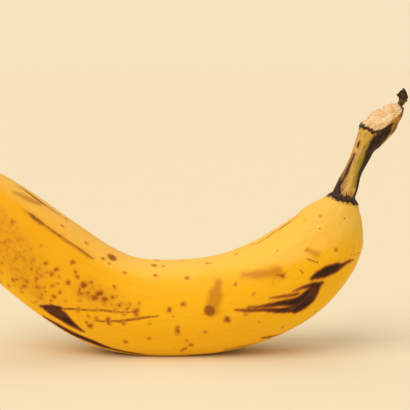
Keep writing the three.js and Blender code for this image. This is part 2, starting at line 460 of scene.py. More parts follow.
# %% Rubs: corky brown lines where the ridges chafed in the bunch
RUBS = [
    [(163, 45, 0.1), (158, 46, 0.8), (153, 46, 0.6), (142, 47, 0.5), (134, 48, 0.6), (128, 49, 0.2)],
    [(171, 89, 0.2), (165, 86, 0.9), (159, 84, 0.7), (150, 86, 0.2)],
    [(42, 80, 0.1), (33, 82, 0.4), (24, 84, 0.5), (15, 85, 0.1)],
    [(150, 121, 0.2), (136, 119, 0.9), (122, 120, 0.4), (104, 120, 0.1)],
    [(69, -57, 0.4), (65, -57, 0.4), (60, -60, 0.2)],
    [(0, -80, 0.9), (3, -82, 0.7), (6, -84, 0.2)],
    [(56, -53, 0.7), (54, -56, 0.4), (51, -60, 0.2)],
    [(120, 196, 0.2), (108, 196, 0.7), (97, 195, 0.5), (90, 196, 0.2)],
    [(60, 246, 0.2), (50, 245, 0.6), (41, 246, 0.2)],
]

# %% Scratches: long thin grazes that have healed brown
SCRATCHES = [
    [(131, -38, 0.3), (124, -20, 0.3), (114, -3, 0.3), (102, 5, 0.2)],
    [(115, -20, 0.3), (104, -7, 0.4), (98, -1, 0.3), (92, 2, 0.1)],
    [(27, 12, 0.1), (26, 5, 0.2), (25, -3, 0.1)],
    [(32, 7, 0.1), (32, 2, 0.1)],
    [(16, -42, 0.0), (14, -60, 0.1)],
    [(70, 140, 0.2), (58, 152, 0.3), (44, 158, 0.2)],
    [(118, 232, 0.2), (104, 222, 0.3), (96, 220, 0.1)],
]

# %% Smears: soft fawn stains where juice has dried
SMEARS = [
    [(66, 38, 0.8), (68, 26, 1.8), (70, 14, 2.0), (70, 5, 1.4)],
    [(170, 64, 0.8), (165, 69, 1.4), (160, 76, 1.2)],
    [(24, 18, 0.2), (23, 8, 0.5)],
    [(54, 38, 0.4), (47, 30, 0.9), (40, 22, 1.1)],
    [(95, 165, 1.2), (84, 160, 2.2), (76, 150, 1.0)],
]

# %% Grime: a broken olive-brown bloom of tiny dead patches, worst on the flank near the blossom
GRIME = [
    [(178, 8, 4), (166, 10, 5), (156, 4, 6), (149, -4, 6), (142, -10, 4)],
    [(160, 13, 1.0), (157, 0, 1.2), (153, -12, 1.0)],
    [(158, -12, 4), (148, -20, 5), (141, -26, 4), (136, -34, 2)],
    [(124, 8, 4), (114, 12, 4), (104, 12, 2)],
    [(46, 26, 1), (42, 20, 3), (38, 16, 2)],
    [(160, 160, 4), (140, 172, 7), (118, 168, 5)],
    [(60, 190, 3), (44, 186, 4)],
]
print(len(RUBS + SCRATCHES), "rubs and scratches,", len(SMEARS + GRIME), "stains")

# %% Spots: the freckles big enough to be placed one by one (mm from the collar, angle, radius)
SPOTS = [
    (163, 24, 0.6), (138, 10, 0.7), (138, 2, 0.8), (141, -8, 0.5), (134, 30, 0.7), (129, 19, 0.6),
    (131, 6, 0.9), (125, 15, 1.3), (124, 4, 0.7), (122, 6, 0.6), (119, 7, 1.2), (118, 14, 1.2),
    (115, 11, 1.3), (112, 17, 0.7), (108, 11, 0.7), (104, 14, 0.4), (101, 7, 1.0), (118, -19, 0.4),
    (115, -16, 0.4), (105, -12, 0.6), (116, -31, 0.9), (111, -14, 0.8), (132, -21, 0.8), (132, -28, 0.5),
    (136, -34, 0.6), (148, -39, 0.7), (144, -41, 0.5), (152, -56, 0.6), (166, 5, 0.5), (160, -4, 0.5),
    (88, 10, 0.9), (82, 16, 0.9), (120, 68, 1.9), (95, 75, 1.0), (91, 74, 0.4), (80, 48, 0.7),
    (70, 73, 0.6), (68, 72, 0.3), (66, -10, 1.2), (59, -10, 0.6), (54, -58, 0.8), (72, 5, 2.3),
    (82, -34, 0.4), (80, -42, 0.6), (84, -50, 0.5),
    (24, 20, 0.4), (17, -13, 0.5), (9, 40, 0.3),
]
LONG_SPOTS = [
    [(41, 19, 0.6), (39, 14, 1.0)],
    [(126, 9, 0.4), (125, 3, 0.7)],
    [(101, 6, 0.8), (101, 0, 0.5)],
    [(122, -15, 0.6), (122, -20, 0.5)],
    [(111, -11, 0.6), (110, -18, 0.7)],
    [(85, -14, 0.7), (85, -22, 0.8)],
]

# %% The rest of the spots fall at random, thickest on the flank towards the blossom
# A cluster is (mm from the collar, angle, spread in mm, spread in degrees, how many spots).
CLUSTERS = [
    (122, 6, 14, 12, 22), (146, -22, 14, 20, 34), (85, -30, 14, 16, 4), (95, 60, 40, 16, 4),
    (110, 170, 40, 40, 42), (60, 200, 30, 50, 16), (40, 10, 22, 30, 5), (150, 100, 20, 30, 6),
]
SMALLEST_SPOT, SPOT_RANGE = 0.25, 0.5
SPOTTED_FROM, SPOTTED_TO = 4, 195  # mm from the collar
dice = np.random.default_rng(7)
small_spots = [
    (dice.normal(back, spread), dice.normal(angle, turn), SMALLEST_SPOT + SPOT_RANGE * dice.random()**2)
    for back, angle, spread, turn, count in CLUSTERS
    for _ in range(count)
]
spot_strokes = [
    [(back, angle, radius), (back + dice.uniform(-0.6, 0.6), angle + dice.uniform(-2, 2), radius)]
    for back, angle, radius in SPOTS + small_spots
    if SPOTTED_FROM < back < SPOTTED_TO
] + LONG_SPOTS
print(len(spot_strokes), "spots")

# %% [markdown]
# ## The body's surface
# A banana grows as five-sided, slightly lumpy flesh under a thin skin. The rings are close enough,
# 0.6 mm, to carry the lumps as real mesh: broad waviness, knobbly ridges, the flutes where the body
# narrows to its neck, and bruises that have sunk a little. Finer things, such as pores and veins,
# are left to the material's bump. The underside is pressed flat where the fruit rests.

# %% Rings of the body
BODY_RINGS, BODY_AROUND = 336, 200
TUCK = 2.5  # how far the body runs on under the tip and the collar
body_along, body_angle = ring_places(TIP_LENGTH - TUCK, BODY_LENGTH + TUCK, BODY_RINGS, BODY_AROUND)
body_points = skin(body_along, body_angle)
body_straight = straighten(body_along, body_angle)
print("rings", round(body_along[1, 0] - body_along[0, 0], 2), "mm apart")

# %% How far each point lies from the marks and from the nearest ridge
body_marks = measure_marks(body_points, {
    "bruise": bruises, "rub": RUBS, "scratch": SCRATCHES, "smear": SMEARS, "grime": GRIME,
    "spot": spot_strokes,
})
off_ridge = np.min([np.abs((body_angle - ridge + 180) % 360 - 180) for ridge in RIDGES], axis=0)
ridge_gap = np.radians(off_ridge) * thickness_at(body_along) / 2
for name, gap in body_marks.items():
    print(name, "covers", round(100 * float((gap < 0).mean()), 2), "% of the skin")

# %% Painted sheen: the face inside the bend is coloured paler above a set height, and this pale band spreads over the shoulder
SHEEN_HEIGHT = 14.6  # mm above the spine where the pale face begins, on the thickest part
SHOULDER_SPREAD = 16  # how much lower it begins on the shoulder
sheen_edge = SHEEN_HEIGHT * thickness_at(body_along) / BODY_THICKNESS
sheen_edge = sheen_edge - SHOULDER_SPREAD * ease(body_along, BODY_LENGTH - 61, BODY_LENGTH - 6)
body_marks["pale"] = body_straight[..., 2] - sheen_edge
print("pale face on", round(100 * float((body_marks["pale"] > 0).mean())), "% of the skin")


# %% The shoulder under the collar, and the foot of the stalk above it
SHOULDER_FULLNESS, FULLER_INSIDE = 0.9, 0.65
PINCH_DEPTH, PINCH_HEIGHT, PINCH_WIDTH = 1.5, 2.8, 2.6


def shoulder_relief(along, angle):
    """The shoulder is fullest on the inside of the bend. The stalk's foot is pinched on the outside."""
    inside = np.sin(np.radians(angle))
    fullness = SHOULDER_FULLNESS + FULLER_INSIDE * inside
    shown = ease(along, BODY_LENGTH - 18, BODY_LENGTH - 6) * ease(along, BODY_LENGTH + 3, BODY_LENGTH - 2)
    pinch = PINCH_DEPTH * ease(inside, 0.2, -1)
    return fullness * shown - pinch * hump(along, BODY_LENGTH + PINCH_HEIGHT, PINCH_WIDTH)


# %% Relief of the body: waviness, knobbly ridges, flutes at both ends, then what the marks add
BRUISE_DEPTH, SPOT_DEPTH, RUB_HEIGHT = 0.28, 0.07, 0.10
TUCK_DEPTH = 1.6
near_ridge = hump(ridge_gap, 0, 1.6)
near_neck = ease(body_along, BODY_LENGTH - 38, BODY_LENGTH - 8)
near_tip = ease(body_along, 34, 12)
under_collar = ease(body_along, BODY_LENGTH + 0.8, BODY_LENGTH + 2.2)
under_tip = ease(body_along, TIP_LENGTH + 0.4, TIP_LENGTH - 0.8)

relief = lumps(body_straight, height=0.38, size=42)
relief += lumps(body_straight, height=0.12, size=13, seed=5)
relief += near_ridge * lumps(body_straight, height=0.35, size=(16, 9, 9), seed=11)
relief += near_neck * lumps(body_straight, height=0.16, size=(45, 3.4, 3.4), seed=3)
relief += near_tip * lumps(body_straight, height=0.35, size=(30, 3.0, 3.0), seed=4)
relief += shoulder_relief(body_along, body_angle)
relief -= BRUISE_DEPTH * ease(body_marks["bruise"], 0.8, -0.8)
relief -= SPOT_DEPTH * ease(body_marks["spot"], 0.3, -0.4)
relief += RUB_HEIGHT * ease(body_marks["rub"], 0.4, -0.2)
relief -= TUCK_DEPTH * (under_collar + under_tip)
print("relief from", round(relief.min(), 2), "to", round(relief.max(), 2), "mm")

# %% The body's points. Nothing goes below the ground the fruit rests on
body_points = body_points + outward(body_points) * relief[..., None]
body_points[..., 2] = np.maximum(body_points[..., 2], 0)
print("points on the ground:", int((body_points[..., 2] == 0).sum()))

# %% [markdown]
# ## The peel
# The skin of a ripe banana is a grown, waxy peel: soft gloss over a saturated yellow that turns
# orange towards the blossom end. The face inside the bend is painted paler, a painted sheen, and the
# underside a lighter yellow, painted bounce light. The wax gives a broad, gentle highlight, so its
# roughness is a little over 0.4 with the index of refraction of plant wax, about 1.4. Brown layers
# go over the yellow from the faintest to the darkest: veins, grime, smears, freckles, scratches,
# spots, rubs, bruises, and the stains at the two ends.

# %% Noise patterns for a material, each at its real size in millimetres
def grow_patterns(material, sizes):
    """One noise for each name, from (along the fruit, across it, octaves), then length and height."""
    place = add(material, "ShaderNodeAttribute", attribute_name="straight").outputs["Vector"]
    parts = add(material, "ShaderNodeSeparateXYZ", {"Vector": place}).outputs
    patterns = {"place": place, "length": parts["X"], "height": parts["Z"]}
    for name, (along, across, detail) in sizes.items():
        scaled = add(
            material,
            "ShaderNodeMapping",
            {"Vector": place, "Scale": [1 / along, 1 / across, 1 / across]},
        )
        patterns[name] = add(
            material,
            "ShaderNodeTexNoise",
            {"Vector": scaled.outputs["Vector"], "Scale": 1.0, "Detail": detail},
        ).outputs["Fac"]
    return patterns


# %% Masks: where a value lies between two limits, with its edge frayed by a pattern
def grow_masks(material, patterns, recipes):
    """A recipe is (attribute or pattern, fraying pattern, fray, value at 0, value at 1)."""
    masks = {}
    for name, (source, fray_by, fray, none_at, full_at) in recipes.items():
        if source in patterns:
            value = patterns[source]
        else:
            value = add(material, "ShaderNodeAttribute", attribute_name=source).outputs["Fac"]
        frayed = maths(material, "MULTIPLY_ADD", patterns[fray_by], fray, value)
        masks[name] = add(
            material,
            "ShaderNodeMapRange",
            {"Value": frayed, "From Min": none_at, "From Max": full_at},
            interpolation_type="SMOOTHSTEP",
        ).outputs["Result"]
    return masks


# %% Sums, for roughness and for bump heights
def add_up(material, start, shares):
    total = start
    for part, amount in shares:
        total = maths(material, "MULTIPLY_ADD", part, amount, total)
    return total


def finish_surface(material, shader, colour, dullness, rough_parts, height_parts):
    """Joins the colour, a roughness that starts at its dullness and a bump in millimetres."""
    links = material.node_tree.links
    height = add_up(material, 0.0, height_parts)
    bump = add(material, "ShaderNodeBump", {"Height": height, "Strength": 1.0, "Distance": MM})
    links.new(colour, shader.inputs["Base Color"])
    links.new(add_up(material, dullness, rough_parts), shader.inputs["Roughness"])
    links.new(bump.outputs["Normal"], shader.inputs["Normal"])
    print(material.name, "has", len(material.node_tree.nodes), "nodes")


# %% Patterns of the peel
peel, peel_shader = new_finish("banana_peel_grown_ripe_waxy", ior=1.4, specular=0.35)
peel_patterns = grow_patterns(peel, {
    "ripening": (55, 26, 2),   # broad clouds of riper skin
    "mottle": (7, 5, 4),       # blotches a few millimetres wide
    "veins": (26, 1.1, 2),     # the strands under the skin, about a millimetre apart
    "fray": (6, 0.7, 3),       # bruises fray along the strands
    "ragged": (1.3, 1.0, 3),   # the edge of a spot
    "bloom": (2.4, 1.8, 4),    # the dead patches that make up the grime
    "pores": (0.5, 0.4, 1),    # the skin's own fine grain
})

# %% Freckles: one cell in five of a fine cell pattern holds a dot
FRECKLE_CELL = 2.6  # mm from one cell to the next
FRECKLE_CHANCE = 0.2
LARGEST_FRECKLE = 0.17  # its radius, as a share of a cell
place = peel_patterns["place"]
cells = add(peel, "ShaderNodeTexVoronoi", {"Vector": place, "Scale": 1 / FRECKLE_CELL})
cell_chance = add(peel, "ShaderNodeSeparateColor", {"Color": cells.outputs["Color"]})
dot_size = add(
    peel,
    "ShaderNodeMapRange",
    {
        "Value": cell_chance.outputs["Red"],
        "From Min": 1 - FRECKLE_CHANCE,
        "From Max": 1.0,
        "To Max": LARGEST_FRECKLE,
    },
)
inside_dot = maths(peel, "SUBTRACT", dot_size.outputs["Result"], cells.outputs["Distance"])
peel_patterns["freckle"] = inside_dot
print("patterns of the peel:", ", ".join(peel_patterns))

# %% Masks of the peel: lengths in mm, noise from 0 to 1
peel_masks = grow_masks(peel, peel_patterns, {
    "riper": ("ripening", "mottle", 0.2, 0.50, 0.78),
    "blossom_end": ("length", "ripening", 40, 150, 40),
    # pale is a painted sheen: the face inside the bend and the shoulder are coloured paler
    "pale": ("pale", "mottle", 3.0, 0.2, 5.0),
    "neck": ("length", "ripening", 10, BODY_LENGTH - 16, BODY_LENGTH + 2),
    # underside is painted bounce light: the lower side of the fruit is coloured a lighter yellow
    "underside": ("height", "ripening", 6, -4, -16),
    "collar_stain": ("length", "fray", 5, BODY_LENGTH + 1.4, BODY_LENGTH + 4),
    "tip_stain": ("length", "fray", 14, 22, 12),
    "vein": ("veins", "mottle", 0.1, 0.58, 0.75),
    "smear": ("smear", "mottle", 3, 3.6, 0.6),
    "grime": ("grime", "mottle", 9, 7.5, 0.5),
    "blotch": ("bloom", "mottle", 0.5, 0.72, 1.0),
    "speck": ("ragged", "bloom", 0.6, 0.82, 1.04),
    "rub_halo": ("rub", "fray", 2.0, 2.0, 0.6),
    "rub": ("rub", "fray", 1.6, 1.05, 0.3),
    "scratch": ("scratch", "ragged", 0.6, 0.75, 0.3),
    "freckle": ("freckle", "ragged", 0.02, 0.0, 0.05),
    "spot_halo": ("spot", "ragged", 1.6, 1.8, 0.5),
    "spot": ("spot", "ragged", 1.6, 1.1, -0.1),
    "bruise_halo": ("bruise", "fray", 1.3, 1.6, 0.5),
    "bruise": ("bruise", "fray", 1.1, 0.85, 0.15),
    "bruise_core": ("bruise", "fray", 1.3, 0.55, -0.4),
    "bruise_mottle": ("mottle", "fray", 0.6, 0.78, 0.92),
})
for name in ("blotch", "speck"):  # these two show only where there is grime
    peel_masks[name] = maths(peel, "MULTIPLY", peel_masks[name], peel_masks["grime"])
print("masks of the peel:", ", ".join(peel_masks))

# %% Colours of the peel, laid over one another
bruise_heart = lay_over(peel, peel_masks, "#341604", [("bruise_mottle", 1, "#5E2C0A")])
peel_colour = lay_over(peel, peel_masks, "#F9BC02", [
    ("riper", 0.5, "#F6B203"),
    ("blossom_end", 0.7, "#F4A904"),
    # painted bounce light: a lighter yellow low on the fruit
    ("underside", 0.9, "#FFC60A"),
    # painted sheen on the face inside the bend and over the shoulder
    ("pale", 0.7, "#FAC450"),
    ("neck", 0.55, "#E2BC50"),
    ("vein", 0.2, "#E89E04"),
    ("grime", 0.2, "#B87408"),
    ("blotch", 0.42, "#AC6A08"),
    ("speck", 0.3, "#8E520A"),
    ("smear", 0.66, "#B86C04"),
    ("freckle", 1, "#B0680A"),
    ("rub_halo", 1, "#D48E14"),
    ("scratch", 0.8, "#8E4A0A"),
    ("spot_halo", 1, "#DE9409"),
    ("spot", 0.9, "#8E4E04"),
    ("rub", 0.75, "#6E3E10"),
    ("bruise_halo", 1, "#B86A0E"),
    ("bruise", 1, "#6A3408"),
    ("bruise_core", 1, bruise_heart),
    ("tip_stain", 1, "#4A2A10"),
    ("collar_stain", 1, "#4B2508"),
])

# %% Roughness and bump of the peel, each starting from a plain skin
finish_surface(
    peel,
    peel_shader,
    peel_colour,
    dullness=0.36,
    rough_parts=[
        (peel_patterns["mottle"], 0.14),
        (peel_masks["spot"], 0.108),
        (peel_masks["bruise"], 0.16),
        (peel_masks["rub"], 0.225),
    ],
    height_parts=[
        (peel_patterns["veins"], 0.06),
        (peel_patterns["mottle"], 0.12),
        (peel_patterns["pores"], 0.020),
        (peel_masks["rub"], 0.045),
        (peel_masks["spot"], -0.045),
        (peel_masks["freckle"], -0.02),
        (peel_masks["bruise_core"], -0.05),
    ],
)

# %% Grow the body
grow_tube("body", body_points, peel, {"straight": body_straight, **body_marks})

# %% [markdown]
# ## The stalk, its collar and the torn crown
# Above the body the skin dries into a tough, ribbed stalk. Where the two meet, a jagged collar of
# dead purple-black skin laps over the yellow. At the top the stalk widens into the piece of crown
# that held it in the bunch: the fruit was pulled off, so its skin ends at a ragged dark rim and the
# pale fibres inside stand free. All of it is one tube on a finer grid, its rings 0.2 mm apart, with
# the tear's slope pressed across it. Heights here are millimetres above the collar.

# %% Where the stalk's skin ends at the tear: height of the rim round the fruit
RIM = {-150: 38, -95: 41, -62: 44, -40: 46, -26: 44, -14: 35, -2: 31.5, 20: 30.5, 60: 29.5,
       95: 29.5, 130: 33, 170: 37}
PEEL_STRIP = (-18, -95)  # where the skin runs on up beside the tear and thins away with no dark rim
EDGE_RADIUS = 6  # the ragged edges round the stalk are noise read on a circle of this radius


def rim_height(angle):
    """The rim's height, with scallops about three millimetres wide."""
    turned = (angle + 180) % 360 - 180
    smooth = np.interp(turned, list(RIM), list(RIM.values()), period=360)
    turn = np.radians(angle)
    circle = np.stack([np.cos(turn), np.sin(turn), 0 * turn], axis=-1) * EDGE_RADIUS
    return smooth + lumps(circle, height=0.8, size=2.4, seed=9) + lumps(circle, height=0.2, size=0.8, seed=2)


# %% Rings of the stalk
STALK_RINGS, STALK_AROUND = 236, 132
STALK_BASE = BODY_LENGTH - 3.5  # the tube starts below the collar, hidden in the body
stalk_along, stalk_angle = ring_places(STALK_BASE, STUB_START - 0.5, STALK_RINGS, STALK_AROUND)
stalk_height = stalk_along - BODY_LENGTH
stalk_points = skin(stalk_along, stalk_angle)
stalk_straight = straighten(stalk_along, stalk_angle)
past_rim = stalk_height - rim_height(stalk_angle)
signed_angle = (stalk_angle + 180) % 360 - 180
on_strip = ease(signed_angle, PEEL_STRIP[0] + 8, PEEL_STRIP[0] - 4)
on_strip *= ease(signed_angle, PEEL_STRIP[1] - 10, PEEL_STRIP[1] + 10)
print("torn part:", round(100 * float((past_rim > 0).mean())), "% of the stalk")

# %% Marks on the stalk: dead skin, a browned flank, olive streaks and rusty patches on the crown
# Places are written as on the body, so those above the collar are negative.
DARK_BANDS = [
    [(-37, -26, 0.4), (-33, -24, 1.9), (-29, -28, 2.6), (-24, -34, 2.2), (-20, -42, 1.8), (-14, -52, 1.5),
     (-6, -64, 1.6), (-2, -64, 2.0)],
    [(-30, -40, 1.0), (-27, -50, 1.6), (-24, -60, 1.5), (-16, -72, 1.4), (-6, -82, 1.6)],
    [(-31, 0, 0.4), (-27, -2, 0.5), (-22, -14, 0.4)],
    [(-19, 53, 0.2), (-15, 52, 0.45), (-11, 50, 0.5), (-8, 50, 0.4), (-5, 54, 0.8)],
    [(-8, 74, 0.6), (-4, 76, 2.0), (-2, 72, 2.4)],
    [(-5, 44, 0.3), (-3, 44, 1.2)],
    [(-24, 56, 0.2), (-22, 54, 0.3)],
    [(-30, 172, 0.4), (-20, 178, 1.1), (-9, 170, 0.9), (-2, 168, 1.8)],
    [(-26, 236, 0.4), (-12, 232, 0.7), (-2, 230, 1.6)],
]
FLANK_BANDS = [
    [(-19, 68, 0.4), (-14, 68, 1.3), (-10, 66, 2.0), (-5, 62, 2.6)],
    [(-22, 200, 0.6), (-12, 204, 1.4), (-4, 204, 1.6)],
]
OLIVE_BANDS = [
    [(-30, -8, 1.2), (-24, -10, 1.8), (-16, -22, 1.8), (-8, -40, 1.6)],
    [(-28, 150, 1.4), (-14, 150, 1.6), (-5, 145, 1.4)],
]
CROWN_PATCHES = [
    [(-44, -34, 1.0), (-42, -40, 1.0)],
    [(-38, -52, 1.2), (-35, -60, 1.0)],
    [(-46, -70, 0.8), (-42, -76, 1.2)],
    [(-40, 200, 1.4), (-36, 190, 1.2)],
]
stalk_marks = measure_marks(stalk_points, {
    "dark": DARK_BANDS, "flank": FLANK_BANDS, "olive": OLIVE_BANDS, "crown_patch": CROWN_PATCHES,
})

# %% Where the torn part begins, and the dark line along its rim. Both fade on the strip of peel
FIBRE_KEPT, LINE_PUSHED = 0.3, 3  # a share of the height past the rim, and a distance in mm
stalk_marks["past_rim"] = past_rim * (1 - (1 - FIBRE_KEPT) * on_strip)
stalk_marks["rim_line"] = np.abs(past_rim) + LINE_PUSHED * on_strip
print("marks of the stalk:", ", ".join(stalk_marks))

# %% The collar: sunk into the body below a ragged edge and standing proud of it above
COLLAR_SUNK, COLLAR_PROUD = -1.5, 0.22
around_stalk = np.radians(stalk_angle)
circle = np.stack([0 * around_stalk, np.cos(around_stalk), np.sin(around_stalk)], axis=-1) * EDGE_RADIUS
collar_edge = 0.2 + lumps(circle, height=0.9, size=2.6, seed=1) + lumps(circle, height=0.7, size=0.9, seed=6)
above_edge = ease(stalk_height - collar_edge, -0.35, 0.3)
stalk_relief = COLLAR_SUNK + (COLLAR_PROUD - COLLAR_SUNK) * above_edge
stalk_relief += shoulder_relief(stalk_along, stalk_angle)
print("collar's edge from", round(collar_edge.min(), 1), "to", round(collar_edge.max(), 1), "mm")

# %% Relief of the stalk's skin: a groove over the collar, ribs, sunken dead skin and a dent
GROOVE_DEPTH, DEAD_DEPTH, DENT_DEPTH = 0.3, 0.25, 1.3
torn = ease(past_rim, -0.15, 0.35)
lapped = ease(stalk_height, -1.2, 2.5)
stalk_relief -= GROOVE_DEPTH * hump(stalk_height, 3.0, 1.2)
stalk_relief += lapped * lumps(stalk_straight, height=0.45, size=(40, 2.4, 2.4), seed=13)
stalk_relief += lapped * lumps(stalk_straight, height=0.16, size=(9, 0.8, 0.8), seed=17)
stalk_relief -= DEAD_DEPTH * ease(stalk_marks["dark"], 0.5, -0.8) * (1 - torn)
stalk_relief -= DENT_DEPTH * hump(stalk_height, 31, 6) * hump(signed_angle, -85, 40)
print("stalk relief from", round(stalk_relief.min(), 2), "to", round(stalk_relief.max(), 2), "mm")

# %% Relief of the tear: a proud rim, then sunken fibre in lumps, which swells beside the stub
RIM_PROUD, FIBRE_SUNK, SWELL_HEIGHT = 0.30, -0.55, 1.1
stalk_relief += RIM_PROUD * hump(past_rim, -0.35, 0.45) * (1 - 0.5 * torn)
stalk_relief += torn * FIBRE_SUNK
stalk_relief += torn * lumps(stalk_straight, height=0.75, size=(5.5, 3.2, 3.2), seed=21, octaves=3)
stalk_relief += torn * lumps(stalk_straight, height=0.36, size=(6, 0.6, 0.6), seed=23)
stalk_relief += torn * SWELL_HEIGHT * ease(stalk_height, 38, 44) * ease(signed_angle, -30, 30)
print("with the tear from", round(stalk_relief.min(), 2), "to", round(stalk_relief.max(), 2), "mm")

# %% The slope of the tear, pressed into everything that stands past it
KEPT_SHARE = 0.16  # how much of what stood past the slope is left, rising to all of it at the stub
lean, turn = math.radians(TEAR_LEAN), math.radians(TEAR_TURN)
tear_normal = np.array([
    -math.sin(lean) * math.sin(turn), -math.sin(lean) * math.cos(turn), math.cos(lean)
])
tear_middle = (skin(CROWN_START + TEAR_PLACE, 0) + skin(CROWN_START + TEAR_PLACE, 180)) / 2
stalk_points = stalk_points + outward(stalk_points) * stalk_relief[..., None]
over_tear = np.maximum((stalk_points - tear_middle) @ tear_normal, 0)
high_enough = stalk_height > STALK_LENGTH / 2
near_stub = ease(stalk_height, 37, 44)
kept_over = (KEPT_SHARE + (1 - KEPT_SHARE) * near_stub) * over_tear
kept_over += torn * lumps(stalk_straight, height=0.5, size=(2.4, 1.4, 1.4), seed=31)
pressed = np.where(high_enough & (over_tear > 0), over_tear - np.minimum(over_tear, kept_over), 0)
stalk_points = stalk_points - pressed[..., None] * tear_normal
print("tear presses", int((pressed > 0).sum()), "points")

# %% [markdown]
# ## Finishes of the stalk
# The stalk's skin is weathered and half dry: tan with pink and yellow-green patches, a fine
# lengthwise grain and much less gloss than the peel. Dead skin is purple-brown, almost black, and a
# little leathery. The torn fibre is matt and pale like damp straw. They share one material, because
# the rim between them is ragged, and a mask with a frayed edge draws it better than a row of faces.

# %% Patterns and masks of the stalk
stalk_skin, stalk_shader = new_finish("banana_stalk_skin_dried_and_torn_fibre", ior=1.45, specular=0.3)
stalk_patterns = grow_patterns(stalk_skin, {
    "patches": (9, 3.5, 3),    # pink and yellow-green patches
    "grain": (7, 0.45, 3),     # the ribs' fine grain, about half a millimetre
    "fibres": (5, 0.30, 4),    # single fibres of the tear
    "clumps": (3, 1.6, 3),     # clumps of fibre, darker between them
    "ragged": (0.9, 0.6, 3),   # the broken edge of the rim
    "fray": (3.5, 0.5, 3),     # dead skin frays along the ribs
})
stalk_masks = grow_masks(stalk_skin, stalk_patterns, {
    "crown_patch": ("crown_patch", "ragged", 2.4, 2.2, 0.8),
    "pink": ("patches", "grain", 0.3, 0.62, 0.80),
    "flank": ("flank", "fray", 2.0, 2.0, 0.2),
    "yellow": ("patches", "ragged", 0.2, 0.54, 0.36),
    "grain": ("grain", "ragged", 0.1, 0.50, 0.70),
    "olive": ("olive", "fray", 2.4, 2.4, 0.4),
    "crown_skin": ("length", "fray", 5, CROWN_START + 8, CROWN_START + 14),
    "dead_purple": ("clumps", "grain", 0.4, 0.66, 0.90),
    "dark_halo": ("dark", "fray", 2.0, 1.9, 0.7),
    "dark": ("dark", "fray", 1.4, 0.9, 0.5),
    "collar": ("length", "fray", 7, BODY_LENGTH + 7.8, BODY_LENGTH + 5.8),
    "rim_dark": ("rim_line", "ragged", 1.0, 2.1, 1.3),
    "fibre": ("past_rim", "ragged", 1.6, 0.7, 1.5),
    # painted shade between single fibres and between clumps, and a painted highlight on the clumps
    "fibre_shade": ("fibres", "ragged", 0.1, 0.52, 0.38),
    "clump_shade": ("clumps", "fibres", 0.4, 0.62, 0.48),
    "clump_highlight": ("clumps", "fibres", 0.4, 0.74, 0.92),
    "stub_foot": ("length", "fray", 3, STUB_START - 0.2, STUB_START + 1.4),
})
print("masks of the stalk:", ", ".join(stalk_masks))

# %% Colours of the skin, then of the fibre, then the rim between them
dead_skin = lay_over(stalk_skin, stalk_masks, "#28120D", [("dead_purple", 1, "#532C22")])
skin_colour = lay_over(stalk_skin, stalk_masks, "#D6AE54", [
    ("yellow", 1, "#D2A93C"),
    ("pink", 1, "#D89C7A"),
    ("flank", 0.8, "#8A5A40"),
    ("olive", 1, "#9A8420"),
    ("crown_skin", 1, "#C58A1E"),
    ("crown_patch", 1, "#8A5214"),
    ("grain", 0.4, "#96682E"),
    ("dark_halo", 1, "#7E5220"),
    ("dark", 1, dead_skin),
    ("collar", 1, dead_skin),
])
# Painted light and shade on the torn fibre: paler on the clumps, darker between clumps and between single
# fibres
fibre_colour = lay_over(stalk_skin, stalk_masks, "#EBC898", [
    ("clump_highlight", 1, "#F8E4C6"),
    ("clump_shade", 0.45, "#D29C74"),
    ("fibre_shade", 0.3, "#B87E4C"),
    ("stub_foot", 1, "#4A2E16"),
])
stalk_colour = lay_over(stalk_skin, stalk_masks, skin_colour, [
    ("rim_dark", 1, "#3E2012"),
    ("fibre", 1, fibre_colour),
])

# %% Roughness and bump of the stalk
finish_surface(
    stalk_skin,
    stalk_shader,
    stalk_colour,
    dullness=0.5,
    rough_parts=[(stalk_patterns["grain"], 0.12), (stalk_masks["fibre"], 0.25)],
    height_parts=[
        (stalk_patterns["grain"], 0.16),
        (stalk_patterns["patches"], 0.12),
        (stalk_patterns["fibres"], 0.10),
        (stalk_patterns["ragged"], 0.05),
    ],
)

# %% Grow the stalk
grow_tube("stalk", stalk_points, stalk_skin, {"straight": stalk_straight, **stalk_marks})

# %% [markdown]
# ## The two dried ends
# On top sits a dry black stub, a scrap of the bunch's stem, and at the other end the flower's
# withered remains, a hard five-lobed nub. Both are dead tissue that shrank as it dried, so they are
# short tubes with deep wrinkles. A blob of metaballs would do for the lumps but not for the wrinkles,
# which run along the piece.

# %% A short wrinkled tube between two places on the spine
WRINKLE_SIZE, WRINKLE_SHARE = 0.5, 0.35  # across a wrinkle in mm, and its height as a share of a lump's
END_SQUARENESS = 8  # 2 would round the whole piece like an egg
END_CLOSING = 0.45  # how much of the thickness the rounding takes at the very end


def wrinkled_piece(start, end, rings, around, proud, lump_size, lump_height, seed):
    along, angle = ring_places(start, end, rings, around)
    straight = straighten(along, angle)
    height = proud + lumps(straight, lump_height, lump_size, seed, octaves=3)
    wrinkle = (lump_size, WRINKLE_SIZE, WRINKLE_SIZE)
    height += lumps(straight, WRINKLE_SHARE * lump_height, wrinkle, seed + 3)
    from_middle = (along - start) / (end - start) * 2 - 1
    rounded = np.sqrt(np.clip(1 - from_middle ** END_SQUARENESS, 0, 1))
    height -= (1 - rounded) * thickness_at(along) * END_CLOSING
    points = skin(along, angle)
    return points + outward(points) * height[..., None], straight, angle


